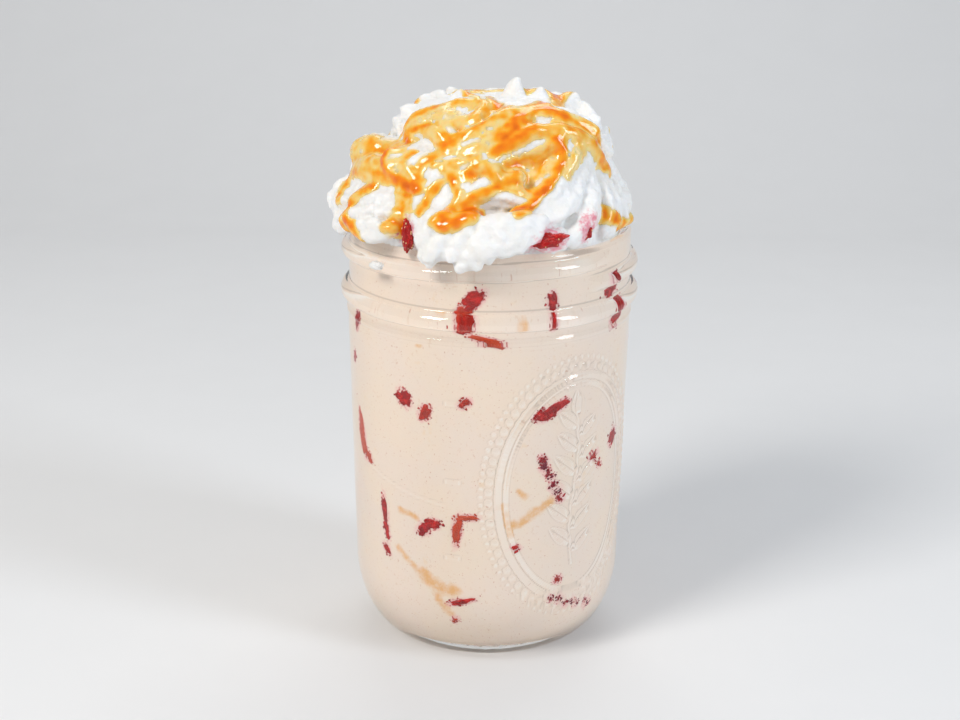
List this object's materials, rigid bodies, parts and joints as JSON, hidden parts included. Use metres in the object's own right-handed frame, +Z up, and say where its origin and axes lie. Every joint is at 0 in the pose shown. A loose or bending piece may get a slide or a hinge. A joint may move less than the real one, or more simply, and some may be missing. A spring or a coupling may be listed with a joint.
{
  "type": "strawberry smoothie",
  "caption": "Strawberry smoothie in a wide-mouth preserving jar with a screw thread, topped with a mound of whipped cream, caramel sauce and diced strawberry.",
  "frame": {"origin": "centre of the jar's foot, on the surface it stands on", "axes": "+Z up the jar's axis, out of its mouth; -Y is the front, where the cream hangs over the rim"},
  "size_m": [0.0878, 0.0883, 0.1623],
  "materials": {
    "jar_glass": "clear, glossy",
    "smoothie": "smooth, opaque",
    "whipped_cream": "soft, satin",
    "strawberry": "wet, glossy",
    "caramel_sauce": "wet, glossy, translucent"
  },
  "bodies": {
    "root": {"jar": "jar_glass", "smoothie": "smoothie", "whipped_cream": "whipped_cream", "strawberry_piece_left": "strawberry", "strawberry_piece_front": "strawberry", "strawberry_piece_right": "strawberry"}
  },
  "joints": []
}
